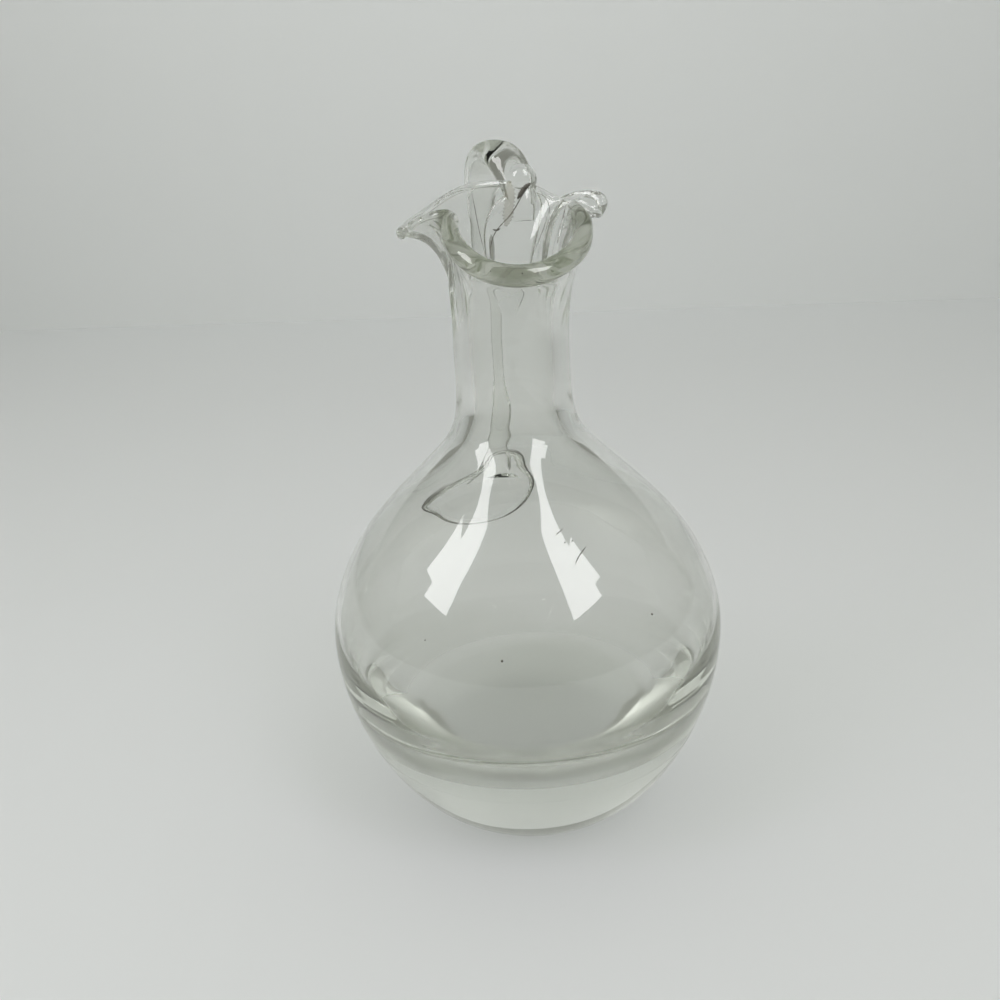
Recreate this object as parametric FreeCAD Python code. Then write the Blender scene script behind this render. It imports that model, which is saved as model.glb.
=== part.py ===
import FreeCAD, Part
import math
import os

# Oil cruet in clear hand-blown glass, one fused piece. Millimetres, +Z up, standing on z = 0,
# pouring lip towards -Y, handle towards +Y, neck axis on the Z axis.

# driving dimensions
BASE_R = 20.4          # flat resting disc
BODY_R = 39.8          # widest, at the belly
BELLY_Z = 40.0
NECK_R = 11.05         # outside of the neck
BORE_R = 7.7           # inside of the neck
NECK_Z = 88.0          # neck starts above the shoulder here
FLOOR_Z = 20.0         # inside floor, the base below it is solid
LIP_FRONT_Z = 111.7    # middle of the bead at the front lobe
FRONT_BEAD_R = 2.0     # rolled bead of the front lobe
RIM_BEAD_R = 0.85      # rim at the back
HANDLE_REACH = 30.6    # neck axis to centre line of the loop's leg
HANDLE_TOP_Z = 131.1   # centre line of the loop at its top
LEG_R = 2.4            # leg of the loop
PAD_THICK = 2.3        # pressed pad on the shoulder
TURN = 15.0            # the lobes and handle were set by hand, measured from a datum turned by this
LIP_START = 98.0       # lip leaves the round neck here

N = 72                 # points round one section

# outside of the body: height, radius
OUTER = [(0.0, BASE_R), (0.35, BASE_R + 0.85), (1.2, 22.3), (3.0, 24.4), (5.5, 26.9), (8.5, 29.3), (12.0, 31.7), (17.0, 34.4),
         (22.0, 36.5), (28.0, 38.4), (34.0, 39.5), (BELLY_Z, BODY_R), (46.0, 39.0), (51.0, 37.3), (56.0, 34.9),
         (61.0, 31.5), (65.5, 27.6), (70.0, 23.1), (74.0, 18.9), (77.5, 15.4), (80.5, 13.0), (84.0, 11.7),
         (NECK_Z, 11.2), (93.0, NECK_R), (98.0, NECK_R)]
# thickness of the body wall by height on the outside
WALL = [(27.0, 3.2), (30.0, 2.6), (33.0, 2.1), (37.0, 1.6), (41.0, 1.25), (46.0, 1.15), (51.0, 1.15), (56.0, 1.15), (61.0, 1.2),
        (65.5, 1.4), (70.0, 1.8), (74.0, 2.4), (77.5, 3.0), (80.5, 3.4)]
# inside of the neck, and the floor with its fillet: height, radius
INNER_TOP = [(98.0, BORE_R), (93.0, BORE_R), (NECK_Z, BORE_R), (84.0, 7.95)]
INNER_LOW = [(24.5, 31.5), (22.9, 29.5), (21.5, 27.4), (20.5, 25.6), (20.05, 23.9),
             (FLOOR_Z, 22.0), (FLOOR_Z, 17.0), (FLOOR_Z, 11.0), (FLOOR_Z, 5.0), (FLOOR_Z, 1.2), (FLOOR_Z, 0.1)]

# rim, seen from above clockwise: (angle on the neck, x, y, z, bead radius, flare) before TURN
RIM = [(-88, 0.6, -15.2, LIP_FRONT_Z, FRONT_BEAD_R, 1.0),
       (-108, -4.2, -13.8, 112.9, 2.00, 1.0),
       (-124, -7.5, -11.2, 115.0, 1.95, 1.0),
       (-138, -9.3, -7.8, 117.3, 1.75, 0.9),
       (-149, -9.8, -4.6, 119.4, 1.60, 0.7),
       (-157, -10.0, -2.4, 121.1, 1.35, 0.5),
       (-164, -11.3, -1.9, 121.5, 1.00, 0.5),
       (-170, -14.4, -3.4, 121.1, 0.95, 0.8),
       (-175, -17.6, -4.4, 119.8, 1.10, 1.0),
       (-179, -18.4, -3.4, 119.0, 1.15, 1.0),
       (176, -17.7, -1.2, 119.9, 1.00, 0.9),
       (169, -15.1, 1.8, 121.4, RIM_BEAD_R, 0.7),
       (158, -12.0, 5.0, 123.2, RIM_BEAD_R, 0.5),
       (142, -8.6, 8.2, 124.7, RIM_BEAD_R, 0.3),
       (122, -4.4, 11.0, 125.5, RIM_BEAD_R, 0.3),
       (98, 0.8, 12.3, 125.4, RIM_BEAD_R, 0.3),
       (76, 5.2, 12.6, 124.6, RIM_BEAD_R, 0.3),
       (60, 8.4, 11.6, 123.2, RIM_BEAD_R, 0.3),
       (50, 10.7, 10.0, 122.1, 0.90, 0.5),
       (43, 12.8, 9.4, 122.3, 1.00, 0.8),
       (38, 15.7, 10.6, 122.7, 1.10, 1.0),
       (34, 18.3, 11.2, 122.2, 1.20, 1.0),
       (30, 19.1, 10.2, 120.5, 1.20, 1.0),
       (26, 17.9, 8.4, 119.4, 1.10, 1.0),
       (20, 15.2, 6.0, 120.7, 1.00, 0.8),
       (13, 13.2, 4.2, 121.1, 1.20, 0.6),
       (4, 14.1, 0.6, 119.5, 1.50, 0.7),
       (-8, 14.1, -3.6, 117.4, 1.70, 0.9),
       (-24, 12.8, -7.8, 115.1, 1.90, 1.0),
       (-42, 9.7, -11.6, 113.1, 2.00, 1.0),
       (-64, 5.5, -14.4, 111.8, 2.00, 1.0)]

# handle centre line before TURN: x, y, z, half width across, half thickness
HANDLE = [(4.0, 10.9, 118.4, 2.6, 1.8),
          (3.8, 12.2, 122.8, 3.3, 2.2),
          (2.6, 14.2, 127.4, 3.6, 2.3),
          (0.2, 18.4, HANDLE_TOP_Z, 3.9, 2.4),
          (-2.0, 23.4, HANDLE_TOP_Z, 4.0, 2.4),
          (-3.4, 28.0, 127.0, 3.8, 2.4),
          (-4.4, 30.2, 120.2, 3.0, 2.4),
          (-5.0, HANDLE_REACH, 111.5, 2.6, 2.4),
          (-5.0, HANDLE_REACH, 103.0, LEG_R, 2.3),
          (-5.0, HANDLE_REACH - 0.2, 93.0, LEG_R, 2.2),
          (-5.0, HANDLE_REACH - 0.8, 84.0, 2.3, 2.1),
          (-5.0, HANDLE_REACH - 1.3, 80.2, 3.0, 2.6),
          (-5.0, HANDLE_REACH - 1.7, 77.6, 4.2, 3.3),
          (-5.0, HANDLE_REACH - 2.1, 75.0, 4.3, 3.4),
          (-5.0, HANDLE_REACH - 2.4, 72.4, 3.2, 2.7),
          (-5.1, HANDLE_REACH - 2.6, 70.0, 2.9, 2.4),
          (-5.3, HANDLE_REACH - 2.8, 67.4, 4.4, 2.6),
          (-5.6, HANDLE_REACH - 3.0, 64.6, 6.6, 2.4)]

# applied tongue down the back of the neck before TURN: z, middle x, half width, middle to axis, half depth
TONGUE = [(124.0, 4.0, 3.0, 12.4, 1.3),
          (122.0, 3.0, 5.4, 12.2, 1.9),
          (118.0, 1.8, 6.2, 11.7, 1.9),
          (113.5, 1.0, 5.4, 11.1, 1.5),
          (108.0, 0.6, 4.4, 10.6, 1.2),
          (103.0, 0.3, 3.2, 10.4, 1.0),
          (99.5, 0.0, 2.0, 10.3, 0.9),
          (97.0, -0.3, 0.8, 10.2, 0.7)]

# outline of the pressed pad before TURN: angle round the body, height on the shoulder
PAD = [(131.3, 59.8), (126.8, 64.5), (118.7, 66.6), (108.8, 68.3), (96.3, 68.9), (87.0, 67.2), (82.6, 63.9), (83.4, 60.0),
       (87.7, 55.7), (92.9, 52.6), (99.6, 50.7), (107.4, 50.4), (113.9, 51.5), (119.2, 53.5), (125.0, 56.7)]


def spline(xs, ys):
    """Natural cubic through the points, as a function."""
    n = len(xs)
    h = [xs[i + 1] - xs[i] for i in range(n - 1)]
    a = [0.0] * n
    b = [1.0] * n
    c = [0.0] * n
    d = [0.0] * n
    for i in range(1, n - 1):
        a[i] = h[i - 1]
        b[i] = 2.0 * (h[i - 1] + h[i])
        c[i] = h[i]
        d[i] = 6.0 * ((ys[i + 1] - ys[i]) / h[i] - (ys[i] - ys[i - 1]) / h[i - 1])
    for i in range(1, n):
        m = a[i] / b[i - 1]
        b[i] -= m * c[i - 1]
        d[i] -= m * d[i - 1]
    k = [0.0] * n
    k[-1] = d[-1] / b[-1]
    for i in range(n - 2, -1, -1):
        k[i] = (d[i] - c[i] * k[i + 1]) / b[i]

    def f(x):
        i = 0
        while i < n - 2 and x > xs[i + 1]:
            i += 1
        t = x - xs[i]
        u = xs[i + 1] - x
        return ((k[i] * u ** 3 + k[i + 1] * t ** 3) / (6.0 * h[i]) + (ys[i] / h[i] - k[i] * h[i] / 6.0) * u
                + (ys[i + 1] / h[i] - k[i + 1] * h[i] / 6.0) * t)
    return f


def chord(points):
    s = [0.0]
    for p, q in zip(points, points[1:]):
        s.append(s[-1] + math.sqrt(sum((u - v) ** 2 for u, v in zip(p, q))) ** 0.7)
    return s


def curve(rows, cols):
    s = chord([r[:cols] for r in rows])
    fs = [spline(s, [r[i] for r in rows]) for i in range(len(rows[0]))]
    return s, lambda x: [f(x) for f in fs]


def turned(x, y):
    a = math.radians(-TURN)
    return x * math.cos(a) - y * math.sin(a), x * math.sin(a) + y * math.cos(a)


def unit(v):
    m = math.sqrt(sum(c * c for c in v))
    return [c / m for c in v]


def cross(a, b):
    return [a[1] * b[2] - a[2] * b[1], a[2] * b[0] - a[0] * b[2], a[0] * b[1] - a[1] * b[0]]


outer_r = spline([z for z, r in OUTER], [r for z, r in OUTER])
wall_at = spline([z for z, t in WALL], [t for z, t in WALL])


def inside(z):
    """Inner wall point square-on behind the outer wall at height z."""
    d = (outer_r(z + 0.2) - outer_r(z - 0.2)) / 0.4
    m = math.hypot(1.0, d)
    return (z + wall_at(z) * d / m, outer_r(z) - wall_at(z) / m)


INNER = INNER_TOP + [inside(z) for z in (80.5, 77.5, 74.0, 70.0, 65.5, 61.0, 56.0, 51.0, 46.0, 41.0, 37.0, 33.0, 30.0, 27.0)] + INNER_LOW

# the rim as a closed curve, stations spaced partly by angle and partly by length
rim = []
for k in range(-3, len(RIM) + 4):
    r = RIM[k % len(RIM)]
    ang = r[0] - 360.0 * (1 if r[0] > RIM[0][0] else 0) - 360.0 * (k // len(RIM))
    rim.append([r[1], r[2], r[3], ang, r[4], r[5]])
s_rim, rim_at = curve(rim, 3)
first, last = s_rim[3], s_rim[3 + len(RIM)]
fine = [first + (last - first) * i / 1440.0 for i in range(1441)]
angles = [rim_at(s)[3] for s in fine]
for i in range(1, len(angles)):
    angles[i] = min(angles[i], angles[i - 1] - 1e-4)
mix = [0.35 * (angles[0] - a) / 360.0 + 0.65 * i / 1440.0 for i, a in enumerate(angles)]
stations = []
for k in range(N):
    want = mix[-1] * k / N
    i = 0
    while mix[i + 1] < want:
        i += 1
    w = (want - mix[i]) / (mix[i + 1] - mix[i])
    row = rim_at(fine[i] + w * (fine[i + 1] - fine[i]))
    row[3] = angles[i] + w * (angles[i + 1] - angles[i])
    stations.append(row)

MID_R = 0.5 * (NECK_R + BORE_R)
HALF_WALL = 0.5 * (NECK_R - BORE_R)


def ear(row):
    """1 in the narrow side lobes, where the glass was drawn out level and thin, 0 elsewhere."""
    r = min(1.0, max(0.0, (math.hypot(row[0], row[1]) - 13.0) / 3.0))
    return r * min(1.0, max(0.0, (row[2] - 117.5) / 1.5))


def middle(row, s):
    """Middle of the glass wall of the lip, s from 0 at the neck to 1 at the rim."""
    x, y, z, ang, bead, flare = row
    a = math.radians(ang)
    n = [MID_R * math.cos(a), MID_R * math.sin(a), LIP_START]
    rise = z - LIP_START
    out = unit([x - n[0] * 0.75, y - n[1] * 0.75, 0.0])
    e = ear(row)
    t0 = [0.0, 0.0, (1.05 + 0.95 * e) * rise]
    t1 = [out[0] * (9.0 * flare + 13.0 * e), out[1] * (9.0 * flare + 13.0 * e), rise * (1.05 - 0.45 * flare - 0.5 * e)]
    h0 = 2 * s ** 3 - 3 * s ** 2 + 1
    h1 = s ** 3 - 2 * s ** 2 + s
    h2 = -2 * s ** 3 + 3 * s ** 2
    h3 = s ** 3 - s ** 2
    return [h0 * n[i] + h1 * t0[i] + h2 * (x, y, z)[i] + h3 * t1[i] for i in range(3)]


def lip_side(s, side):
    """Points round one side of the lip wall, side +1 outside and -1 inside."""
    pts = []
    for k in range(N):
        here = middle(stations[k], s)
        ahead = middle(stations[(k + 1) % N], s)
        behind = middle(stations[(k - 1) % N], s)
        up = middle(stations[k], min(1.0, s + 0.02))
        down = middle(stations[k], max(0.0, s - 0.02))
        n = unit(cross(unit([u - v for u, v in zip(up, down)]), unit([u - v for u, v in zip(ahead, behind)])))
        bead = stations[k][4]
        lip = min(1.2, 0.85 * bead)
        w = min(1.0, s / 0.8)
        half = HALF_WALL + (lip - HALF_WALL) * (w * w * (3 - 2 * w))
        e = ear(stations[k])
        v = min(1.0, s / 0.3)
        half = (1 - e) * half + e * (HALF_WALL + (min(0.8, lip) - HALF_WALL) * (v * v * (3 - 2 * v)))
        pts.append([c + side * half * m for c, m in zip(here, n)])
    return pts


def bead_round(angle):
    """Points round the rounded rim, angle 0 outside to 180 inside."""
    pts = []
    a = math.radians(angle)
    for k in range(N):
        here = middle(stations[k], 1.0)
        ahead = middle(stations[(k + 1) % N], 1.0)
        behind = middle(stations[(k - 1) % N], 1.0)
        down = middle(stations[k], 0.98)
        along = unit([u - v for u, v in zip(here, down)])
        n = unit(cross(along, unit([u - v for u, v in zip(ahead, behind)])))
        b = stations[k][4]
        pts.append([c + b * (math.cos(a) * m + math.sin(a) * t) for c, m, t in zip(here, n, along)])
    return pts


def ring(r, z):
    """Points round a plain circle, evenly spaced on the body and following the lip's spacing near the lip."""
    w = min(1.0, max(0.0, (z - 50.0) / (LIP_START - 50.0)))
    w = w * w * (3 - 2 * w)
    angs = [math.radians(w * st[3] + (1 - w) * (stations[0][3] - 360.0 * k / N)) for k, st in enumerate(stations)]
    return [[r * math.cos(a), r * math.sin(a), z] for a in angs]


def pull(rows, rounds):
    """Poles nudged so that the smooth surface runs through the given points."""
    m, n = len(rows), len(rows[0])
    poles = [[list(p) for p in row] for row in rows]
    for _ in range(rounds):
        even = [[[(poles[j][i - 1][c] + 4.0 * poles[j][i][c] + poles[j][(i + 1) % n][c]) / 6.0 for c in range(3)] for i in range(n)]
                for j in range(m)]
        for j in range(2, m - 2):
            for i in range(n):
                for c in range(3):
                    v = (even[j - 1][i][c] + 4.0 * even[j][i][c] + even[j + 1][i][c]) / 6.0
                    poles[j][i][c] += rows[j][i][c] - v
    return poles


def skin(sections, rounds=0):
    """Solid inside one smooth surface run over the sections, flat ends."""
    sections = pull(sections, rounds) if rounds else sections
    rows = [[FreeCAD.Vector(*(list(turned(p[0], p[1])) + [p[2]])) for p in sec] for sec in sections]
    n, m = len(rows[0]), len(rows)
    poles = [[rows[j][i] for j in range(m)] for i in range(n)]
    surf = Part.BSplineSurface()
    surf.buildFromPolesMultsKnots(poles, [1] * (n + 1), [4] + [1] * (m - 4) + [4],
                                  [float(i) for i in range(n + 1)], [float(j) for j in range(m - 2)], True, False, 3, 3)
    side = surf.toShape()
    caps = []
    for e in side.Edges:
        if e.isClosed():
            caps.append(Part.Face(Part.Wire([e])))
    shell = Part.Shell([side] + caps)
    shell.sewShape()
    shell.fix(1e-5, 1e-5, 1e-5)
    solid = Part.Solid(shell)
    if solid.Volume < 0:
        solid.reverse()
    if not solid.isValid():
        solid.fix(1e-5, 1e-5, 1e-4)
    return solid


# outside of the body up to the neck, the lip outside, its bead, the lip inside, then the inside down to the floor
sections = []
for z, r in OUTER[:-1]:
    sections.append(ring(r, z))
for s in (0.0, 0.14, 0.28, 0.42, 0.56, 0.70, 0.82):
    sections.append(lip_side(s, 1) if s > 0 else ring(NECK_R, LIP_START))
for a in (-50, -10, 25, 58, 90, 122, 155, 190, 230):
    sections.append(bead_round(a))
for s in (0.82, 0.70, 0.56, 0.42, 0.28, 0.14, 0.0):
    sections.append(lip_side(s, -1) if s > 0 else ring(BORE_R, LIP_START))
for z, r in INNER[1:]:
    sections.append(ring(r, z))
vessel = skin(sections, 3)


def oval(centre, across, thick, half_w, half_t, n=16):
    pts = []
    for k in range(n):
        a = 2 * math.pi * k / n
        pts.append([centre[i] + across[i] * half_w * math.cos(a) + thick[i] * half_t * math.sin(a) for i in range(3)])
    return pts


s_h, handle_at = curve(HANDLE, 3)
sections = []
for k in range(34):
    s = s_h[0] + (s_h[-1] - s_h[0]) * k / 33.0
    x, y, z, hw, ht = handle_at(s)
    a = handle_at(max(s_h[0], s - 0.05))
    b = handle_at(min(s_h[-1], s + 0.05))
    along = unit([b[i] - a[i] for i in range(3)])
    across = unit([1.0 - along[0] * along[0], -along[0] * along[1], -along[0] * along[2]])
    sections.append(oval([x, y, z], across, cross(along, across), hw, ht))
handle = skin(sections)

sections = [oval([x, y, z], [1, 0, 0], [0, 1, 0], hw, hd) for z, x, hw, y, hd in TONGUE]
tongue = skin(sections)
# knob where the handle leaves the rim
knob = Part.makeSphere(3.0, FreeCAD.Vector(*(list(turned(4.0, 13.0)) + [126.2])))

# pad: the leaf outline pushed through a shell that follows the shoulder
leaf = []
for ang, z in PAD:
    a = math.radians(ang - TURN)
    leaf.append(FreeCAD.Vector(outer_r(z) * math.cos(a), outer_r(z) * math.sin(a), z))
mid_a = math.radians(104.5 - TURN)
face_dir = FreeCAD.Vector(math.cos(mid_a) * 0.88, math.sin(mid_a) * 0.88, 0.47).normalize()
flat = [p - face_dir * ((p - leaf[0]).dot(face_dir) + 12.0) for p in leaf]
b = Part.BSplineCurve()
b.interpolate(Points=flat, PeriodicFlag=True)
prism = Part.Face(Part.Wire([b.toShape()])).extrude(face_dir * 24.0)


def shoulder(offset):
    pts = [FreeCAD.Vector(outer_r(z) + offset * 0.88, 0, z + offset * 0.47) for z in (42, 47, 52, 57, 62, 67, 71, 75, 78)]
    return pts


low, high = shoulder(-1.0), shoulder(PAD_THICK)
lo, hi = Part.BSplineCurve(), Part.BSplineCurve()
lo.interpolate(low)
hi.interpolate(high)
edges = [lo.toShape(), Part.makeLine(low[-1], high[-1]), hi.toShape(), Part.makeLine(high[0], low[0])]
shell = Part.Face(Part.Wire(Part.__sortEdges__(edges))).revolve(FreeCAD.Vector(0, 0, 0), FreeCAD.Vector(0, 0, 1), 360)
pad = prism.common(shell)

cruet = vessel.fuse([handle, tongue, knob, pad])
solids = cruet.Solids
cruet = max(solids, key=lambda q: q.Volume)
print("solids", len(solids), "valid", cruet.isValid(), "volume cm3", cruet.Volume / 1000.0)
print("box", cruet.BoundBox)

os.makedirs("parts", exist_ok=True)
cruet.exportStep("parts/cruet.step")
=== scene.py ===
import bpy
import math
import numpy as np
from mathutils import Matrix, Vector


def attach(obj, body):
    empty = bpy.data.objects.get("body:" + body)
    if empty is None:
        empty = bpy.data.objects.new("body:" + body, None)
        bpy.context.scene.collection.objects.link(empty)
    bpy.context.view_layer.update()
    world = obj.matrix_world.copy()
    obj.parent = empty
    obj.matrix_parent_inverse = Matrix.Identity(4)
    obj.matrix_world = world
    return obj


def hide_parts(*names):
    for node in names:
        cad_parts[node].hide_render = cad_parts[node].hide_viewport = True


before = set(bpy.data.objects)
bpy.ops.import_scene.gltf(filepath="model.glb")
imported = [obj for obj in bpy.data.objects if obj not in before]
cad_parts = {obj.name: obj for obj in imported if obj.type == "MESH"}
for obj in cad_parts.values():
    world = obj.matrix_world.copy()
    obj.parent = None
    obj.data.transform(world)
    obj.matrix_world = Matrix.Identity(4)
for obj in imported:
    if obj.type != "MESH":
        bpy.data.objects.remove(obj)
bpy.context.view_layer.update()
MM = 0.001

# ---------------------------------------------------------------- sizes, mm, the same as the solid's
BASE_R = 20.4
BODY_R = 39.8
BELLY_Z = 40.0
NECK_R = 11.05
BORE_R = 7.7
NECK_Z = 88.0
FLOOR_Z = 20.0
LIP_FRONT_Z = 111.7
LIP_BACK_Z = 126.0
FRONT_BEAD_R = 2.0
RIM_BEAD_R = 0.85
HANDLE_TOP_Z = 131.1
HANDLE_REACH = 30.6
LEG_R = 2.4
PAD_THICK = 2.3
TURN = 15.0
N = 72
LIP_START = 98.0
UNDER_ROUGH = 0.0
FILM_ROUGH = 0.32
GLASS_TINT = (0.94, 0.945, 0.93)
# base colour of the front bead and loop top: painted shade for the dark room refracted through the thick glass, on top
# of the glass's own green
BEAD_SHADE_TINT = (0.40, 0.42, 0.34)

OUTER = [(0.0, BASE_R), (0.35, BASE_R + 0.85), (1.2, 22.3), (3.0, 24.4), (5.5, 26.9), (8.5, 29.3), (12.0, 31.7), (17.0, 34.4),
         (22.0, 36.5), (28.0, 38.4), (34.0, 39.5), (BELLY_Z, BODY_R), (46.0, 39.0), (51.0, 37.3), (56.0, 34.9),
         (61.0, 31.5), (65.5, 27.6), (70.0, 23.1), (74.0, 18.9), (77.5, 15.4), (80.5, 13.0), (84.0, 11.7),
         (NECK_Z, 11.2), (93.0, NECK_R), (98.0, NECK_R)]
WALL = [(27.0, 3.2), (30.0, 2.6), (33.0, 2.1), (37.0, 1.6), (41.0, 1.25), (46.0, 1.15), (51.0, 1.15), (56.0, 1.15), (61.0, 1.2),
        (65.5, 1.4), (70.0, 1.8), (74.0, 2.4), (77.5, 3.0), (80.5, 3.4)]
INNER_TOP = [(98.0, BORE_R), (93.0, BORE_R), (NECK_Z, BORE_R), (84.0, 7.95)]
INNER_LOW = [(24.5, 31.5), (22.9, 29.5), (21.5, 27.4), (20.5, 25.6), (20.05, 23.9),
             (FLOOR_Z, 22.0), (FLOOR_Z, 17.0), (FLOOR_Z, 11.0), (FLOOR_Z, 5.0), (FLOOR_Z, 1.2), (FLOOR_Z, 0.1)]

RIM = [(-88, 0.6, -15.2, 111.7, 2.00, 1.0),
       (-108, -4.2, -13.8, 112.9, 2.00, 1.0),
       (-124, -7.5, -11.2, 115.0, 1.95, 1.0),
       (-138, -9.3, -7.8, 117.3, 1.75, 0.9),
       (-149, -9.8, -4.6, 119.4, 1.60, 0.7),
       (-157, -10.0, -2.4, 121.1, 1.35, 0.5),
       (-164, -11.3, -1.9, 121.5, 1.00, 0.5),
       (-170, -14.4, -3.4, 121.1, 0.95, 0.8),
       (-175, -17.6, -4.4, 119.8, 1.10, 1.0),
       (-179, -18.4, -3.4, 119.0, 1.15, 1.0),
       (176, -17.7, -1.2, 119.9, 1.00, 0.9),
       (169, -15.1, 1.8, 121.4, 0.85, 0.7),
       (158, -12.0, 5.0, 123.2, 0.85, 0.5),
       (142, -8.6, 8.2, 124.7, 0.85, 0.3),
       (122, -4.4, 11.0, 125.5, 0.85, 0.3),
       (98, 0.8, 12.3, 125.4, 0.85, 0.3),
       (76, 5.2, 12.6, 124.6, 0.85, 0.3),
       (60, 8.4, 11.6, 123.2, 0.85, 0.3),
       (50, 10.7, 10.0, 122.1, 0.90, 0.5),
       (43, 12.8, 9.4, 122.3, 1.00, 0.8),
       (38, 15.7, 10.6, 122.7, 1.10, 1.0),
       (34, 18.3, 11.2, 122.2, 1.20, 1.0),
       (30, 19.1, 10.2, 120.5, 1.20, 1.0),
       (26, 17.9, 8.4, 119.4, 1.10, 1.0),
       (20, 15.2, 6.0, 120.7, 1.00, 0.8),
       (13, 13.2, 4.2, 121.1, 1.20, 0.6),
       (4, 14.1, 0.6, 119.5, 1.50, 0.7),
       (-8, 14.1, -3.6, 117.4, 1.70, 0.9),
       (-24, 12.8, -7.8, 115.1, 1.90, 1.0),
       (-42, 9.7, -11.6, 113.1, 2.00, 1.0),
       (-64, 5.5, -14.4, 111.8, 2.00, 1.0)]

HANDLE = [(4.0, 10.9, 118.4, 2.6, 1.8),
          (3.8, 12.2, 122.8, 3.3, 2.2),
          (2.6, 14.2, 127.4, 3.6, 2.3),
          (0.2, 18.4, 131.1, 3.9, 2.4),
          (-2.0, 23.4, 131.1, 4.0, 2.4),
          (-3.4, 28.0, 127.0, 3.8, 2.4),
          (-4.4, 30.2, 120.2, 3.0, 2.4),
          (-5.0, HANDLE_REACH, 111.5, 2.6, 2.4),
          (-5.0, HANDLE_REACH, 103.0, LEG_R, 2.3),
          (-5.0, HANDLE_REACH - 0.2, 93.0, LEG_R, 2.2),
          (-5.0, HANDLE_REACH - 0.8, 84.0, 2.3, 2.1),
          (-5.0, HANDLE_REACH - 1.3, 80.2, 3.0, 2.6),
          (-5.0, HANDLE_REACH - 1.7, 77.6, 4.2, 3.3),
          (-5.0, HANDLE_REACH - 2.1, 75.0, 4.3, 3.4),
          (-5.0, HANDLE_REACH - 2.4, 72.4, 3.2, 2.7),
          (-5.1, HANDLE_REACH - 2.6, 70.0, 2.9, 2.4),
          (-5.3, HANDLE_REACH - 2.8, 67.4, 4.4, 2.6),
          (-5.6, HANDLE_REACH - 3.0, 64.6, 6.6, 2.4)]

TONGUE = [(124.0, 4.0, 3.0, 12.4, 1.3),
          (122.0, 3.0, 5.4, 12.2, 1.9),
          (118.0, 1.8, 6.2, 11.7, 1.9),
          (113.5, 1.0, 5.4, 11.1, 1.5),
          (108.0, 0.6, 4.4, 10.6, 1.2),
          (103.0, 0.3, 3.2, 10.4, 1.0),
          (99.5, 0.0, 2.0, 10.3, 0.9),
          (97.0, -0.3, 0.8, 10.2, 0.7)]

PAD = [(131.3, 59.8), (126.8, 64.5), (118.7, 66.6), (108.8, 68.3), (96.3, 68.9), (87.0, 67.2), (82.6, 63.9), (83.4, 60.0),
       (87.7, 55.7), (92.9, 52.6), (99.6, 50.7), (107.4, 50.4), (113.9, 51.5), (119.2, 53.5), (125.0, 56.7)]


# ---------------------------------------------------------------- curves
def spline(xs, ys):
    n = len(xs)
    h = [xs[i + 1] - xs[i] for i in range(n - 1)]
    a = [0.0] * n
    b = [1.0] * n
    c = [0.0] * n
    d = [0.0] * n
    for i in range(1, n - 1):
        a[i] = h[i - 1]
        b[i] = 2.0 * (h[i - 1] + h[i])
        c[i] = h[i]
        d[i] = 6.0 * ((ys[i + 1] - ys[i]) / h[i] - (ys[i] - ys[i - 1]) / h[i - 1])
    for i in range(1, n):
        m = a[i] / b[i - 1]
        b[i] -= m * c[i - 1]
        d[i] -= m * d[i - 1]
    k = [0.0] * n
    k[-1] = d[-1] / b[-1]
    for i in range(n - 2, -1, -1):
        k[i] = (d[i] - c[i] * k[i + 1]) / b[i]

    def f(x):
        i = 0
        while i < n - 2 and x > xs[i + 1]:
            i += 1
        t = x - xs[i]
        u = xs[i + 1] - x
        return ((k[i] * u ** 3 + k[i + 1] * t ** 3) / (6.0 * h[i]) + (ys[i] / h[i] - k[i] * h[i] / 6.0) * u
                + (ys[i + 1] / h[i] - k[i + 1] * h[i] / 6.0) * t)
    return f


def chord(points):
    s = [0.0]
    for p, q in zip(points, points[1:]):
        s.append(s[-1] + math.sqrt(sum((u - v) ** 2 for u, v in zip(p, q))) ** 0.7)
    return s


def curve(rows, cols):
    s = chord([r[:cols] for r in rows])
    fs = [spline(s, [r[i] for r in rows]) for i in range(len(rows[0]))]
    return s, lambda x: [f(x) for f in fs]


def unit(v):
    m = math.sqrt(sum(c * c for c in v))
    return [c / m for c in v]


def cross(a, b):
    return [a[1] * b[2] - a[2] * b[1], a[2] * b[0] - a[0] * b[2], a[0] * b[1] - a[1] * b[0]]


outer_r = spline([z for z, r in OUTER], [r for z, r in OUTER])
wall_at = spline([z for z, t in WALL], [t for z, t in WALL])


def inside(z):
    """Inner wall point square-on behind the outer wall at height z."""
    d = (outer_r(z + 0.2) - outer_r(z - 0.2)) / 0.4
    m = math.hypot(1.0, d)
    return (z + wall_at(z) * d / m, outer_r(z) - wall_at(z) / m)


INNER = INNER_TOP + [inside(z) for z in (80.5, 77.5, 74.0, 70.0, 65.5, 61.0, 56.0, 51.0, 46.0, 41.0, 37.0, 33.0, 30.0, 27.0)] + INNER_LOW

rim = []
for k in range(-3, len(RIM) + 4):
    r = RIM[k % len(RIM)]
    ang = r[0] - 360.0 * (1 if r[0] > RIM[0][0] else 0) - 360.0 * (k // len(RIM))
    rim.append([r[1], r[2], r[3], ang, r[4], r[5]])
s_rim, rim_at = curve(rim, 3)
first, last = s_rim[3], s_rim[3 + len(RIM)]
fine = [first + (last - first) * i / 1440.0 for i in range(1441)]
angles = [rim_at(s)[3] for s in fine]
for i in range(1, len(angles)):
    angles[i] = min(angles[i], angles[i - 1] - 1e-4)
mix = [0.35 * (angles[0] - a) / 360.0 + 0.65 * i / 1440.0 for i, a in enumerate(angles)]
stations = []
for k in range(N):
    want = mix[-1] * k / N
    i = 0
    while mix[i + 1] < want:
        i += 1
    w = (want - mix[i]) / (mix[i + 1] - mix[i])
    row = rim_at(fine[i] + w * (fine[i + 1] - fine[i]))
    row[3] = angles[i] + w * (angles[i + 1] - angles[i])
    stations.append(row)

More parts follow.
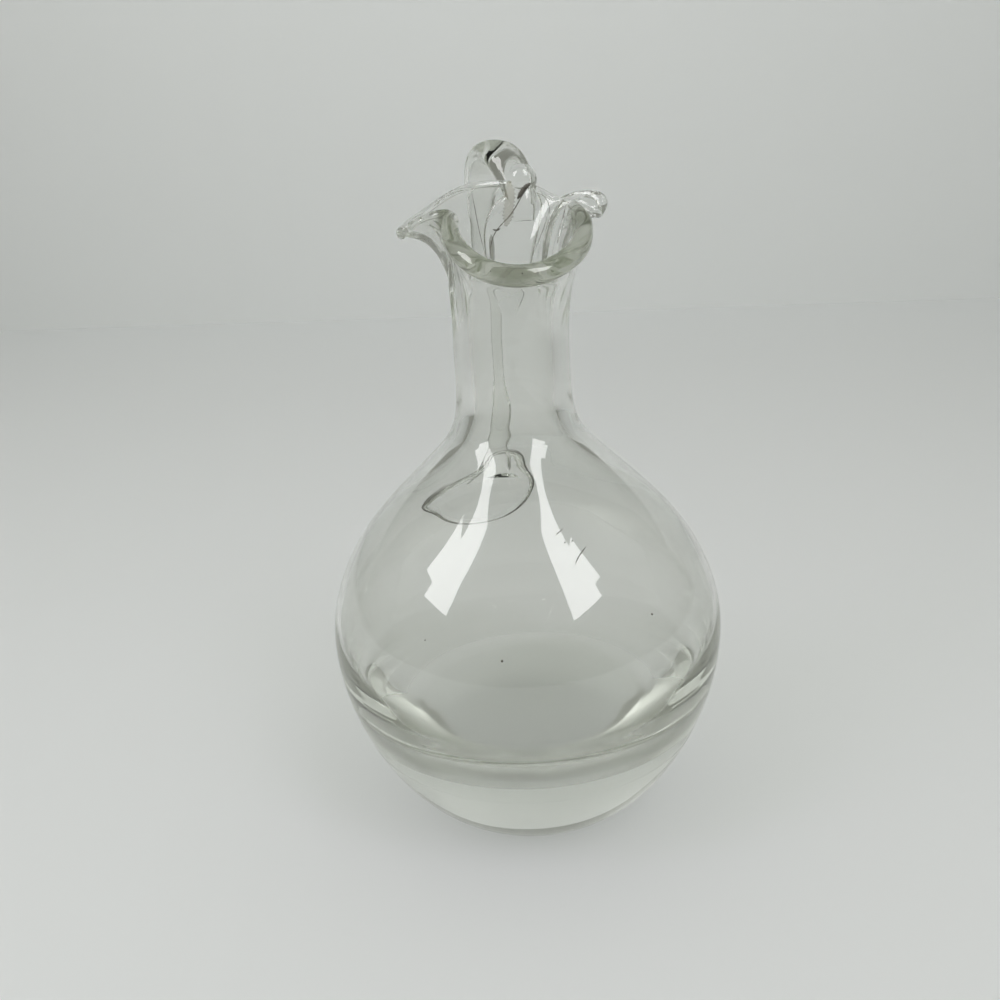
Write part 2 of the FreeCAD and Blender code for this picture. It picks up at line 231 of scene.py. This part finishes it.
MID_R = 0.5 * (NECK_R + BORE_R)
HALF_WALL = 0.5 * (NECK_R - BORE_R)


def ear(row):
    r = min(1.0, max(0.0, (math.hypot(row[0], row[1]) - 13.0) / 3.0))
    return r * min(1.0, max(0.0, (row[2] - 117.5) / 1.5))


def middle(row, s):
    x, y, z, ang, bead, flare = row
    a = math.radians(ang)
    n = [MID_R * math.cos(a), MID_R * math.sin(a), LIP_START]
    rise = z - LIP_START
    out = unit([x - n[0] * 0.75, y - n[1] * 0.75, 0.0])
    e = ear(row)
    t0 = [0.0, 0.0, (1.05 + 0.95 * e) * rise]
    t1 = [out[0] * (9.0 * flare + 13.0 * e), out[1] * (9.0 * flare + 13.0 * e), rise * (1.05 - 0.45 * flare - 0.5 * e)]
    h0 = 2 * s ** 3 - 3 * s ** 2 + 1
    h1 = s ** 3 - 2 * s ** 2 + s
    h2 = -2 * s ** 3 + 3 * s ** 2
    h3 = s ** 3 - s ** 2
    return [h0 * n[i] + h1 * t0[i] + h2 * (x, y, z)[i] + h3 * t1[i] for i in range(3)]


def lip_side(s, side):
    pts = []
    for k in range(N):
        here = middle(stations[k], s)
        ahead = middle(stations[(k + 1) % N], s)
        behind = middle(stations[(k - 1) % N], s)
        up = middle(stations[k], min(1.0, s + 0.02))
        down = middle(stations[k], max(0.0, s - 0.02))
        n = unit(cross(unit([u - v for u, v in zip(up, down)]), unit([u - v for u, v in zip(ahead, behind)])))
        bead = stations[k][4]
        lip = min(1.2, 0.85 * bead)
        w = min(1.0, s / 0.8)
        half = HALF_WALL + (lip - HALF_WALL) * (w * w * (3 - 2 * w))
        e = ear(stations[k])
        v = min(1.0, s / 0.3)
        half = (1 - e) * half + e * (HALF_WALL + (min(0.8, lip) - HALF_WALL) * (v * v * (3 - 2 * v)))
        pts.append([c + side * half * m for c, m in zip(here, n)])
    return pts


def bead_round(angle):
    pts = []
    a = math.radians(angle)
    for k in range(N):
        here = middle(stations[k], 1.0)
        ahead = middle(stations[(k + 1) % N], 1.0)
        behind = middle(stations[(k - 1) % N], 1.0)
        down = middle(stations[k], 0.98)
        along = unit([u - v for u, v in zip(here, down)])
        n = unit(cross(along, unit([u - v for u, v in zip(ahead, behind)])))
        b = stations[k][4]
        pts.append([c + b * (math.cos(a) * m + math.sin(a) * t) for c, m, t in zip(here, n, along)])
    return pts


def ring(r, z):
    w = min(1.0, max(0.0, (z - 50.0) / (LIP_START - 50.0)))
    w = w * w * (3 - 2 * w)
    angs = [math.radians(w * st[3] + (1 - w) * (stations[0][3] - 360.0 * k / N)) for k, st in enumerate(stations)]
    return [[r * math.cos(a), r * math.sin(a), z] for a in angs]


def oval(centre, across, thick, half_w, half_t, n=16):
    pts = []
    for k in range(n):
        a = 2 * math.pi * k / n
        pts.append([centre[i] + across[i] * half_w * math.cos(a) + thick[i] * half_t * math.sin(a) for i in range(3)])
    return pts


# ---------------------------------------------------------------- surfaces
def basis(knots, deg, n, params):
    """Rows of B-spline weights for each parameter."""
    out = np.zeros((len(params), n))
    for r, t in enumerate(params):
        i = deg
        while i < n - 1 and t >= knots[i + 1]:
            i += 1
        w = [1.0]
        for d in range(1, deg + 1):
            new = [0.0] * (d + 1)
            for j in range(d):
                lo, hi = knots[i - d + 1 + j], knots[i + 1 + j]
                f = (t - lo) / (hi - lo)
                new[j] += w[j] * (1 - f)
                new[j + 1] += w[j] * f
            w = new
        for j in range(deg + 1):
            out[r, i - deg + j] = w[j]
    return out


def pull(T, rounds):
    """Poles nudged so that the smooth surface runs through the given points."""
    P = T.copy()
    for _ in range(rounds):
        S = (np.roll(P, 1, 1) + 4 * P + np.roll(P, -1, 1)) / 6.0
        V = S.copy()
        V[2:-2] = (S[1:-3] + 4 * S[2:-2] + S[3:-1]) / 6.0
        D = T - V
        D[:2] = 0.0
        D[-2:] = 0.0
        P = P + D
    return P


def skin(sections, per_u, per_v, sharpen=0):
    """Vertices and faces of the smooth closed surface over the sections."""
    P = np.array(sections, float)            # v, u, 3
    m, n = P.shape[:2]
    if sharpen:
        P = pull(P, sharpen)
    v_knots = [0.0] * 4 + [float(j) for j in range(1, m - 3)] + [float(m - 3)] * 4
    vs = np.linspace(0.0, m - 3.0, (m - 3) * per_v + 1)
    Bv = basis(v_knots, 3, m, vs)
    us = np.arange(n * per_u) / per_u
    Bu = np.zeros((len(us), n))
    for r, t in enumerate(us):
        i = int(math.floor(t))
        f = t - i
        w = [(1 - f) ** 3 / 6.0, (3 * f ** 3 - 6 * f ** 2 + 4) / 6.0, (-3 * f ** 3 + 3 * f ** 2 + 3 * f + 1) / 6.0, f ** 3 / 6.0]
        for j in range(4):
            Bu[r, (i + j) % n] += w[j]
    S = np.einsum("vm,mnc->vnc", Bv, P)
    S = np.einsum("un,vnc->vuc", Bu, S)
    nv, nu = S.shape[:2]
    verts = S.reshape(-1, 3)
    faces = []
    for j in range(nv - 1):
        a = j * nu
        b = a + nu
        for i in range(nu):
            k = (i + 1) % nu
            faces.append((a + i, a + k, b + k, b + i))
    c0, c1 = len(verts), len(verts) + 1
    verts = np.vstack([verts, S[0].mean(0), S[-1].mean(0)])
    for i in range(nu):
        k = (i + 1) % nu
        faces.append((c0, k, i))
        faces.append((c1, (nv - 1) * nu + i, (nv - 1) * nu + k))
    return verts, faces


TURN_M = Matrix.Rotation(math.radians(-TURN), 4, "Z")


def mesh_object(name, verts, faces, turn=True):
    mesh = bpy.data.meshes.new(name)
    v = np.asarray(verts, float) * MM
    if turn:
        a = math.radians(-TURN)
        x = v[:, 0] * math.cos(a) - v[:, 1] * math.sin(a)
        y = v[:, 0] * math.sin(a) + v[:, 1] * math.cos(a)
        v = np.stack([x, y, v[:, 2]], 1)
    mesh.from_pydata([tuple(p) for p in v], [], faces)
    mesh.update()
    import bmesh
    bm = bmesh.new()
    bm.from_mesh(mesh)
    bmesh.ops.recalc_face_normals(bm, faces=bm.faces)
    bm.to_mesh(mesh)
    bm.free()
    o = bpy.data.objects.new(name, mesh)
    bpy.context.scene.collection.objects.link(o)
    return o


sections = [ring(r, 0.0) for r in (0.1, 8.0, 15.0, 19.0)]
for r, z in [(r, z) for z, r in OUTER[:-1]]:
    sections.append(ring(r, z))
for s in (0.0, 0.14, 0.28, 0.42, 0.56, 0.70, 0.82):
    sections.append(lip_side(s, 1) if s > 0 else ring(NECK_R, LIP_START))
for a in (-50, -10, 25, 58, 90, 122, 155, 190, 230):
    sections.append(bead_round(a))
for s in (0.82, 0.70, 0.56, 0.42, 0.28, 0.14, 0.0):
    sections.append(lip_side(s, -1) if s > 0 else ring(BORE_R, LIP_START))
for z, r in INNER[1:]:
    sections.append(ring(r, z))
vessel = mesh_object("cruet_glass", *skin(sections, 4, 4, 3))

s_h, handle_at = curve(HANDLE, 3)
sections = []
for k in range(34):
    s = s_h[0] + (s_h[-1] - s_h[0]) * k / 33.0
    x, y, z, hw, ht = handle_at(s)
    a = handle_at(max(s_h[0], s - 0.05))
    b = handle_at(min(s_h[-1], s + 0.05))
    along = unit([b[i] - a[i] for i in range(3)])
    across = unit([1.0 - along[0] * along[0], -along[0] * along[1], -along[0] * along[2]])
    sections.append(oval([x, y, z], across, cross(along, across), hw, ht))
handle = mesh_object("handle", *skin(sections, 4, 5))
sections = [oval([x, y, z], [1, 0, 0], [0, 1, 0], hw, hd) for z, x, hw, y, hd in TONGUE]
tongue = mesh_object("tongue", *skin(sections, 4, 6))

# knob where the handle leaves the rim
kv, kf = [], []
for j in range(1, 24):
    for i in range(48):
        a, b = 2 * math.pi * i / 48, math.pi * j / 24
        kv.append((4.0 + 3.0 * math.sin(b) * math.cos(a), 13.0 + 3.0 * math.sin(b) * math.sin(a), 126.2 + 3.0 * math.cos(b)))
for j in range(22):
    for i in range(48):
        k = (i + 1) % 48
        kf.append((j * 48 + i, j * 48 + k, (j + 1) * 48 + k, (j + 1) * 48 + i))
kv += [(4.0, 13.0, 129.2), (4.0, 13.0, 123.2)]
for i in range(48):
    k = (i + 1) % 48
    kf.append((len(kv) - 2, k, i))
    kf.append((len(kv) - 1, 22 * 48 + i, 22 * 48 + k))
knob = mesh_object("knob", kv, kf)

# pressed pad: the leaf outline on the shoulder, steep at its edge and gently domed
mid_a, mid_z = 104.5, 59.6
n_pad = len(PAD)
loop = [PAD[k % n_pad] for k in range(-2, n_pad + 3)]
keys = chord([(p[0] * 0.6, p[1]) for p in loop])
fa, fz = spline(keys, [p[0] for p in loop]), spline(keys, [p[1] for p in loop])
edge = [(fa(t), fz(t)) for t in np.linspace(keys[2], keys[2 + n_pad], 161)[:-1]]


def on_shoulder(ang, z, lift):
    d = (outer_r(z + 0.2) - outer_r(z - 0.2)) / 0.4
    m = math.hypot(1.0, d)
    r = outer_r(z) + lift / m
    return (r * math.cos(math.radians(ang)), r * math.sin(math.radians(ang)), z - lift * d / m)


pv, pf = [], []
steps = [0.12, 0.25, 0.4, 0.55, 0.7, 0.82, 0.9, 0.95, 0.98, 0.995, 1.0]
lifts = [(f, PAD_THICK * (1.0 - 0.35 * f ** 2) * math.sqrt(max(0.0, 1 - f ** 14)) if f < 1 else 0.2) for f in steps]
lifts += [(1.0, -0.6), (0.9, -1.0), (0.6, -1.0), (0.3, -1.0)]
for f, lift in lifts:
    for ang, z in edge:
        pv.append(on_shoulder(mid_a + (ang - mid_a) * f, mid_z + (z - mid_z) * f, lift))
ne = len(edge)
for j in range(len(lifts) - 1):
    for i in range(ne):
        k = (i + 1) % ne
        pf.append((j * ne + i, j * ne + k, (j + 1) * ne + k, (j + 1) * ne + i))
pv += [on_shoulder(mid_a, mid_z, PAD_THICK), on_shoulder(mid_a, mid_z, -1.0)]
for i in range(ne):
    k = (i + 1) % ne
    pf.append((len(pv) - 2, k, i))
    pf.append((len(pv) - 1, (len(lifts) - 1) * ne + i, (len(lifts) - 1) * ne + k))
pad = mesh_object("pad", pv, pf)

for tool in (handle, tongue, knob, pad):
    mod = vessel.modifiers.new("join", "BOOLEAN")
    mod.operation = "UNION"
    mod.solver = "MANIFOLD"
    mod.object = tool
    dg = bpy.context.evaluated_depsgraph_get()
    joined = bpy.data.meshes.new_from_object(vessel.evaluated_get(dg))
    vessel.modifiers.remove(mod)
    print("join", tool.name, len(vessel.data.polygons), "->", len(joined.polygons))
    vessel.data = joined
    bpy.data.objects.remove(tool)
vessel.name = "cruet_glass"
for p in vessel.data.polygons:
    p.use_smooth = True
vessel.data.set_sharp_from_angle(angle=math.radians(32))

# ---------------------------------------------------------------- glass
clear_glass = bpy.data.materials.new("clear_glass")
clear_glass.use_nodes = True
nt = clear_glass.node_tree
bsdf = nt.nodes["Principled BSDF"]
out = nt.nodes["Material Output"]
bsdf.inputs["Base Color"].default_value = (1.0, 1.0, 1.0, 1.0)
bsdf.inputs["IOR"].default_value = 1.5
bsdf.inputs["Transmission Weight"].default_value = 1.0


def maths(op, a, b=0.0):
    n = nt.nodes.new("ShaderNodeMath")
    n.operation = op
    n.use_clamp = op == "MULTIPLY_ADD"
    for i, v in enumerate((a, b)):
        if isinstance(v, (int, float)):
            n.inputs[i].default_value = v
        else:
            nt.links.new(v, n.inputs[i])
    return n


def ramp(value, lo, hi):
    """0 below lo, 1 above hi."""
    n = nt.nodes.new("ShaderNodeMapRange")
    n.interpolation_type = "SMOOTHSTEP"
    n.inputs["From Min"].default_value = lo
    n.inputs["From Max"].default_value = hi
    nt.links.new(value, n.inputs["Value"])
    return n.outputs["Result"]


# the dull film dried on the inner floor scatters light; the ground underside has its own mask but gets no roughness
# (UNDER_ROUGH is 0), the rest is clear
where = nt.nodes.new("ShaderNodeTexCoord")
split = nt.nodes.new("ShaderNodeSeparateXYZ")
nt.links.new(where.outputs["Object"], split.inputs[0])
rr = maths("SQRT", maths("ADD", maths("MULTIPLY", split.outputs[0], split.outputs[0]).outputs[0],
                         maths("MULTIPLY", split.outputs[1], split.outputs[1]).outputs[0]).outputs[0]).outputs[0]
zz = split.outputs[2]
under = maths("SUBTRACT", 1.0, ramp(zz, 0.0003, 0.0006)).outputs[0]
floor_low = ramp(zz, (FLOOR_Z - 1.5) * MM, (FLOOR_Z - 1.0) * MM)
c15, s15 = math.cos(math.radians(TURN)), math.sin(math.radians(TURN))
yd = maths("ADD", maths("MULTIPLY", split.outputs[0], s15).outputs[0], maths("MULTIPLY", split.outputs[1], c15).outputs[0]).outputs[0]
front = maths("MINIMUM", yd, 0.0).outputs[0]
height = maths("ADD", zz, maths("MULTIPLY", front, 0.45).outputs[0]).outputs[0]
floor_high = maths("SUBTRACT", 1.0, ramp(height, (FLOOR_Z + 1.3) * MM, (FLOOR_Z + 1.7) * MM)).outputs[0]
floor_in = maths("SUBTRACT", 1.0, ramp(rr, 0.0350, 0.0362)).outputs[0]
film = maths("MULTIPLY", maths("MULTIPLY", floor_low, floor_high).outputs[0], floor_in).outputs[0]
rough = maths("ADD", maths("MULTIPLY", under, UNDER_ROUGH).outputs[0], maths("MULTIPLY", film, FILM_ROUGH).outputs[0]).outputs[0]
nt.links.new(rough, bsdf.inputs["Roughness"])
# the rolled bead of the front lobe and the top of the loop get a darker, greener base colour: the green cast is the
# thick glass's own, the darkness is painted shade standing in for the dark room seen refracted through the thick glass
xd = maths("SUBTRACT", maths("MULTIPLY", split.outputs[0], c15).outputs[0], maths("MULTIPLY", split.outputs[1], s15).outputs[0]).outputs[0]
left = maths("MINIMUM", xd, 0.0).outputs[0]
tilt = maths("SUBTRACT", zz, maths("MULTIPLY", yd, 0.5).outputs[0]).outputs[0]
tilt = maths("ADD", tilt, maths("MULTIPLY", left, 0.24).outputs[0]).outputs[0]
wide = maths("SUBTRACT", rr, maths("MULTIPLY", left, 0.2).outputs[0]).outputs[0]
bead_shade_mask = maths("MULTIPLY", ramp(tilt, 0.1169, 0.1179), ramp(wide, 0.0114, 0.0126)).outputs[0]
bead_shade_mask = maths("MULTIPLY", bead_shade_mask, ramp(xd, -0.0130, -0.0112)).outputs[0]
bead_shade_mask = maths("MULTIPLY", bead_shade_mask, maths("SUBTRACT", 1.0, ramp(yd, -0.001, 0.005)).outputs[0]).outputs[0]
loop_top_shade = maths("MULTIPLY", ramp(yd, 0.0150, 0.0200), ramp(zz, 0.1260, 0.1300)).outputs[0]
shade_weight = maths("ADD", bead_shade_mask, maths("MULTIPLY", loop_top_shade, 0.3).outputs[0]).outputs[0]
# mixes the clear glass colour with the painted shade of the bead and loop top
glass_and_shade_tint = nt.nodes.new("ShaderNodeMix")
glass_and_shade_tint.data_type = "RGBA"
[q for q in glass_and_shade_tint.inputs if q.type == "RGBA"][0].default_value = (*GLASS_TINT, 1.0)
[q for q in glass_and_shade_tint.inputs if q.type == "RGBA"][1].default_value = (*BEAD_SHADE_TINT, 1.0)
for sock in glass_and_shade_tint.inputs:
    if sock.name == "Factor" and sock.type == "VALUE":
        nt.links.new(shade_weight, sock)
        break
nt.links.new([q for q in glass_and_shade_tint.outputs if q.type == "RGBA"][0], bsdf.inputs["Base Color"])
clear = nt.nodes.new("ShaderNodeBsdfTransparent")
clear.inputs["Color"].default_value = (0.97, 0.975, 0.965, 1.0)
path = nt.nodes.new("ShaderNodeLightPath")
mix = nt.nodes.new("ShaderNodeMixShader")
nt.links.new(path.outputs["Is Shadow Ray"], mix.inputs[0])
nt.links.new(bsdf.outputs["BSDF"], mix.inputs[1])
nt.links.new(clear.outputs["BSDF"], mix.inputs[2])
nt.links.new(mix.outputs["Shader"], out.inputs["Surface"])
absorb = nt.nodes.new("ShaderNodeVolumeAbsorption")
absorb.inputs["Color"].default_value = (0.58, 0.645, 0.47, 1.0)
absorb.inputs["Density"].default_value = 4.0
nt.links.new(absorb.outputs["Volume"], out.inputs["Volume"])
vessel.data.materials.clear()
vessel.data.materials.append(clear_glass)
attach(vessel, "root")
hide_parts("cruet")


# ---------------------------------------------------------------- dirt
def thread(verts, faces, points, radius, sides=6):
    """Fine round line through the points, thinner at its ends."""
    pts = [Vector(p) for p in points]
    s = chord(points)
    fs = [spline(s, [p[i] for p in points]) for i in range(3)]
    n = 8 * (len(points) - 1)
    line = [Vector([f(s[-1] * k / n) for f in fs]) for k in range(n + 1)] if len(points) > 2 else [pts[0].lerp(pts[1], k / n) for k in range(n + 1)]
    start = len(verts)
    for k, p in enumerate(line):
        along = (line[min(n, k + 1)] - line[max(0, k - 1)]).normalized()
        side = along.orthogonal().normalized()
        other = along.cross(side)
        r = radius * (0.55 + 0.45 * math.sin(k * 1.9) ** 2) * min(1.0, 0.3 + 3.0 * min(k, n - k) / n)
        for m in range(sides):
            a = 2 * math.pi * m / sides
            verts.append(tuple(p + side * r * math.cos(a) + other * r * math.sin(a)))
    for k in range(n):
        for m in range(sides):
            q = (m + 1) % sides
            a = start + k * sides
            faces.append((a + m, a + q, a + sides + q, a + sides + m))
    faces.append(tuple(start + m for m in range(sides)))
    faces.append(tuple(start + n * sides + m for m in reversed(range(sides))))


def blob(verts, faces, centre, half, wave=0.0):
    """Small rounded lump with the three half sizes."""
    start = len(verts)
    for j in range(1, 8):
        for i in range(16):
            a, b = 2 * math.pi * i / 16, math.pi * j / 8
            w = 1.0 + wave * math.sin(3.0 * a + 1.3 * j)
            verts.append((centre[0] + half[0] * w * math.sin(b) * math.cos(a), centre[1] + half[1] * w * math.sin(b) * math.sin(a),
                          centre[2] + half[2] * w * math.cos(b)))
    for j in range(6):
        for i in range(16):
            k = (i + 1) % 16
            a = start + j * 16
            faces.append((a + i, a + k, a + 16 + k, a + 16 + i))
    faces.append(tuple(start + i for i in reversed(range(16))))
    faces.append(tuple(start + 96 + i for i in range(16)))


def dirt(name, colour, see_through):
    m = bpy.data.materials.new(name)
    m.use_nodes = True
    t = m.node_tree
    b = t.nodes["Principled BSDF"]
    b.inputs["Base Color"].default_value = (*colour, 1.0)
    b.inputs["Roughness"].default_value = 0.7
    b.inputs["Alpha"].default_value = 1.0 - see_through
    return m


dv, df = [], []
thread(dv, df, [(4.9, 10.4, 124.8), (3.7, 10.0, 123.1), (1.4, 10.05, 119.9), (-1.3, 10.0, 117.3), (-2.6, 9.2, 114.7), (-3.0, 8.6, 111.9)], 0.13)
thread(dv, df, [(-5.7, 9.5, 125.0), (-5.2, 9.2, 121.3), (-4.85, 8.95, 118.5), (-3.7, 8.4, 112.4)], 0.08)
thread(dv, df, [(7.6, 11.05, 123.7), (8.9, 9.6, 121.3), (7.8, 6.9, 117.9), (5.3, 8.0, 112.4)], 0.07)
thread(dv, df, [(11.9, 7.4, 121.3), (11.4, 7.0, 119.5), (10.5, 3.1, 117.5)], 0.12)
thread(dv, df, [(-2.1, 10.0, 117.5), (-1.3, 10.0, 117.3), (-0.6, 10.0, 117.6)], 0.22)
thread(dv, df, [(3.0, 10.05, 122.8), (3.9, 10.25, 124.0), (4.6, 10.35, 124.8), (5.6, 10.35, 125.5)], 0.62)
for p, r in (((-5.4, -37.35, 50.0), 0.22), ((-18.7, -31.8, 52.05), 0.14), ((21.65, -29.3, 53.0), 0.2), ((-3.1, -16.9, 113.0), 0.12), ((2.2, -17.0, 112.3), 0.15)):
    blob(dv, df, p, (r, r, r))
thread(dv, df, [(5.49, -25.01, 67.61), (6.17, -24.5, 67.97), (6.83, -23.95, 68.3)], 0.1)
thread(dv, df, [(8.5, -28.37, 63.36), (9.02, -27.57, 64.04), (9.84, -26.62, 64.73), (10.62, -25.78, 65.28)], 0.12)
blob(dv, df, (6.95, -25.87, 66.43), (0.14, 0.14, 0.14))
blob(dv, df, (8.3, -25.44, 66.45), (0.14, 0.14, 0.14))
for lo_a, hi_a, r in ((0.90, 1.10, 0.34), (0.02, 0.09, 0.26), (0.30, 0.52, 0.26), (0.55, 0.88, 0.1), (0.10, 0.28, 0.13)):
    run = [edge[int(round(q * ne)) % ne] for q in np.linspace(lo_a, hi_a, 9)]
    thread(dv, df, [on_shoulder(a, z, 0.35) for a, z in run], r)
    if r > 0.2:
        thread(dv, df, [on_shoulder(mid_a + (a - mid_a) * 0.93, mid_z + (z - mid_z) * 0.95, 1.6) for a, z in run], 0.6 * r)
marks = mesh_object("dark_marks", dv, df)
marks.data.materials.append(dirt("dark_dirt", (0.11, 0.10, 0.08), 0.15))
fv, ff = [], []
thread(fv, ff, [(1.5, 10.7, 126.2), (1.6, 10.4, 123.9), (1.3, 10.3, 121.6), (0.9, 10.2, 119.4), (0.4, 10.1, 117.9)], 1.25, 14)
film_patch = mesh_object("dried_oil", fv, ff)
film_patch.data.materials.append(dirt("dried_oil", (0.50, 0.47, 0.33), 0.78))
for piece in (marks, film_patch):
    for q in piece.data.polygons:
        q.use_smooth = True
    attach(piece, "root")


# ---------------------------------------------------------------- stage
def plain(name, colour, rough=0.6):
    m = bpy.data.materials.new(name)
    m.use_nodes = True
    b = m.node_tree.nodes["Principled BSDF"]
    b.inputs["Base Color"].default_value = (*colour, 1.0)
    b.inputs["Roughness"].default_value = rough
    b.inputs["Specular IOR Level"].default_value = 0.2
    return m


def quad(name, pts, mat):
    mesh = bpy.data.meshes.new(name)
    mesh.from_pydata(pts, [], [(0, 1, 2, 3)])
    mesh.update()
    mesh.materials.append(mat)
    o = bpy.data.objects.new(name, mesh)
    bpy.context.scene.collection.objects.link(o)
    return o


def datum(x, y, z=0.0):
    """From the camera's square-on datum, mm, to the row frame, metres."""
    a = math.radians(-TURN)
    return Vector((x * math.cos(a) - y * math.sin(a), x * math.sin(a) + y * math.cos(a), z)) * MM


table = plain("table_white", (0.755, 0.77, 0.77), 0.5)
wall = plain("wall_pale", (0.74, 0.755, 0.75), 0.9)
WALL_Y = 615.0
FLOOR_GAP = -0.25
WALL_TURN = 0.18
SIDE, NEAR_Y, WALL_TOP = 900.0, -450.0, 320.0
FAR_L, FAR_R = WALL_Y + WALL_TURN * SIDE, WALL_Y - WALL_TURN * SIDE
quad("floor", [datum(-SIDE, NEAR_Y, FLOOR_GAP), datum(SIDE, NEAR_Y, FLOOR_GAP), datum(SIDE, FAR_R, FLOOR_GAP), datum(-SIDE, FAR_L, FLOOR_GAP)], table)
quad("backdrop", [datum(-SIDE, FAR_L, FLOOR_GAP), datum(SIDE, FAR_R, FLOOR_GAP), datum(SIDE, FAR_R, WALL_TOP), datum(-SIDE, FAR_L, WALL_TOP)], wall)

world = bpy.data.worlds.new("room")
world.use_nodes = True
world.node_tree.nodes["Background"].inputs["Color"].default_value = (0.60, 0.615, 0.55, 1.0)
world.node_tree.nodes["Background"].inputs["Strength"].default_value = 0.4
bpy.context.scene.world = world


def window(name, az_a, dist_a, az_b, dist_b, low, high, radiance):
    """Soft upright panel between two bearings from the shoulder, low and high in mm."""
    ends = [(math.cos(math.radians(az)) * d, math.sin(math.radians(az)) * d - 35.0) for az, d in ((az_a, dist_a), (az_b, dist_b))]
    a, b = datum(*ends[0]), datum(*ends[1])
    mid = (a + b) / 2
    mid.z = (57.0 + (low + high) / 2) * MM
    along = (b - a).normalized()
    up = Vector((0, 0, 1))
    back = along.cross(up)
    if back.dot(mid) < 0:
        along, back = -along, -back
    light = bpy.data.lights.new(name, "AREA")
    light.shape = "RECTANGLE"
    light.size = (b - a).length
    light.size_y = (high - low) * MM
    light.energy = math.pi * radiance * light.size * light.size_y
    o = bpy.data.objects.new(name, light)
    bpy.context.scene.collection.objects.link(o)
    o.matrix_world = Matrix(((along.x, up.x, back.x, mid.x), (along.y, up.y, back.y, mid.y), (along.z, up.z, back.z, mid.z), (0, 0, 0, 1)))
    return o


LIGHT = 8.3
GLOSS = 4.5
GLINT = 1.8
for end, power in (("", LIGHT), ("_gloss", GLOSS), ("_through", GLINT)):
    pair = [window("window_left" + end, -145.0, 900.0, -166.0, 815.0, 470.0, 1900.0, power),
            window("window_right" + end, -61.0, 900.0, -36.0, 709.0, 478.0, 2150.0, power),
            window("pane_left" + end, -166.0, 815.0, -176.0, 790.0, 600.0, 1130.0, power),
            window("pane_right" + end, -36.0, 709.0, -29.0, 690.0, 600.0, 1130.0, power)]
    for o in pair:
        o.visible_transmission = end == "_through"
        o.visible_glossy = end != "_through"
        o.visible_diffuse = o.name in ("window_left", "window_right")

# ---------------------------------------------------------------- camera
F_PX, PITCH, ROLL = 1000.0, 20.0, 3.65
CAM = (0.0, 0.0, 134.39)
CENTRE = (4.0, 188.7)
R_v = F_PX / math.tan(math.radians(PITCH))
vp = (R_v * math.sin(math.radians(ROLL)), R_v * math.cos(math.radians(ROLL)))
g = np.array([vp[0] / F_PX, vp[1] / F_PX, 1.0])
g /= np.linalg.norm(g)
up = -g
fwd = np.array([0.0, 0.0, 1.0])
ya = fwd - up * (fwd @ up)
ya /= np.linalg.norm(ya)
xa = np.cross(ya, up)
W = np.array([xa, ya, up])               # rows: datum axes in camera coordinates (right, down, ahead)
right, down, ahead = W[:, 0], W[:, 1], W[:, 2]
rot = np.array(Matrix.Rotation(math.radians(-TURN), 3, "Z"))
cols = [rot @ right, rot @ (-down), rot @ (-ahead)]
cam_data = bpy.data.cameras.new("camera")
cam_data.sensor_width = 36.0
cam_data.lens = F_PX / 1000.0 * 36.0
cam_data.clip_start = 0.01
cam_data.clip_end = 20.0
cam = bpy.data.objects.new("camera", cam_data)
bpy.context.scene.collection.objects.link(cam)
loc = datum(CAM[0] - CENTRE[0], CAM[1] - CENTRE[1], CAM[2])
cam.matrix_world = Matrix(((cols[0][0], cols[1][0], cols[2][0], loc.x),
                           (cols[0][1], cols[1][1], cols[2][1], loc.y),
                           (cols[0][2], cols[1][2], cols[2][2], loc.z),
                           (0, 0, 0, 1)))
scene = bpy.context.scene
scene.camera = cam
scene.view_settings.view_transform = "Standard"
scene.view_settings.look = "None"
scene.cycles.max_bounces = 64
scene.cycles.transmission_bounces = 64
scene.cycles.glossy_bounces = 64
scene.cycles.transparent_max_bounces = 24
scene.cycles.caustics_refractive = False
scene.cycles.caustics_reflective = False
scene.cycles.sample_clamp_indirect = 8.0
